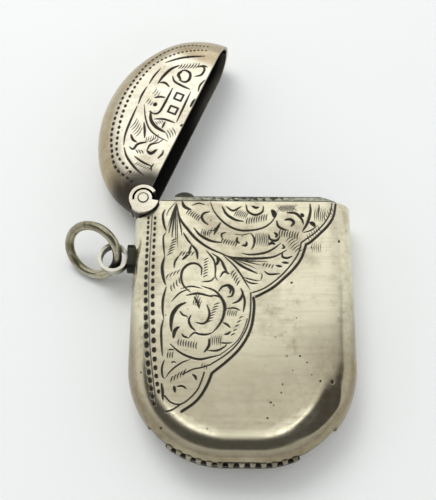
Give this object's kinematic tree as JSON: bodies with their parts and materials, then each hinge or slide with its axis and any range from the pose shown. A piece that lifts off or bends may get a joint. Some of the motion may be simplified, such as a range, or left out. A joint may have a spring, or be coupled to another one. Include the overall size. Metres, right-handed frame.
{
  "type": "vesta case",
  "caption": "Flat pocket match case in engraved silver with round edges, a side-hinged snap lid, an inner collar, a serrated striker on its base and a ring for a watch chain.",
  "frame": {"origin": "middle of the flat back of the body, which the case lies on", "axes": "+X across the case, away from the hinge; +Y from the base to the mouth; +Z out of the engraved front"},
  "size_m": [0.0452, 0.0707, 0.0091],
  "materials": {
    "engraved_silver": "worn polished silver, engraved",
    "collar_silver": "dull tarnished silver",
    "striker_silver": "serrated, tarnished in the cuts",
    "hinge_silver": "bright rubbed silver",
    "spring_steel": "dark flat spring steel",
    "fitting_silver": "worn silver, dark in the corners",
    "ring_silver": "dull, yellowed silver wire"
  },
  "bodies": {
    "case": {"body_front": "engraved_silver", "body_back": "engraved_silver", "mouth_collar": "collar_silver", "striker_strip": "striker_silver", "hinge_lug_front": "hinge_silver", "hinge_lug_rear": "hinge_silver", "hinge_pin": "hinge_silver", "lid_spring": "spring_steel", "spring_rivet": "spring_steel", "loop_pad": "fitting_silver", "ring_loop": "fitting_silver"},
    "lid": {"lid_front": "engraved_silver", "lid_back": "engraved_silver", "lid_knuckle": "hinge_silver"},
    "ring": {"jump_ring": "ring_silver"}
  },
  "joints": [
    {"name": "lid_hinge", "type": "hinge", "parent": "case", "child": "lid", "pos_m": [-0.0154, 0.02005, 0.0042], "axis": [0, 0, 1], "range_deg": [-67, 12]},
    {"name": "ring_swing", "type": "hinge", "parent": "case", "child": "ring", "pos_m": [-0.02015, 0.01165, 0.0042], "axis": [0, 0, 1], "range_deg": [-40, 80]}
  ]
}
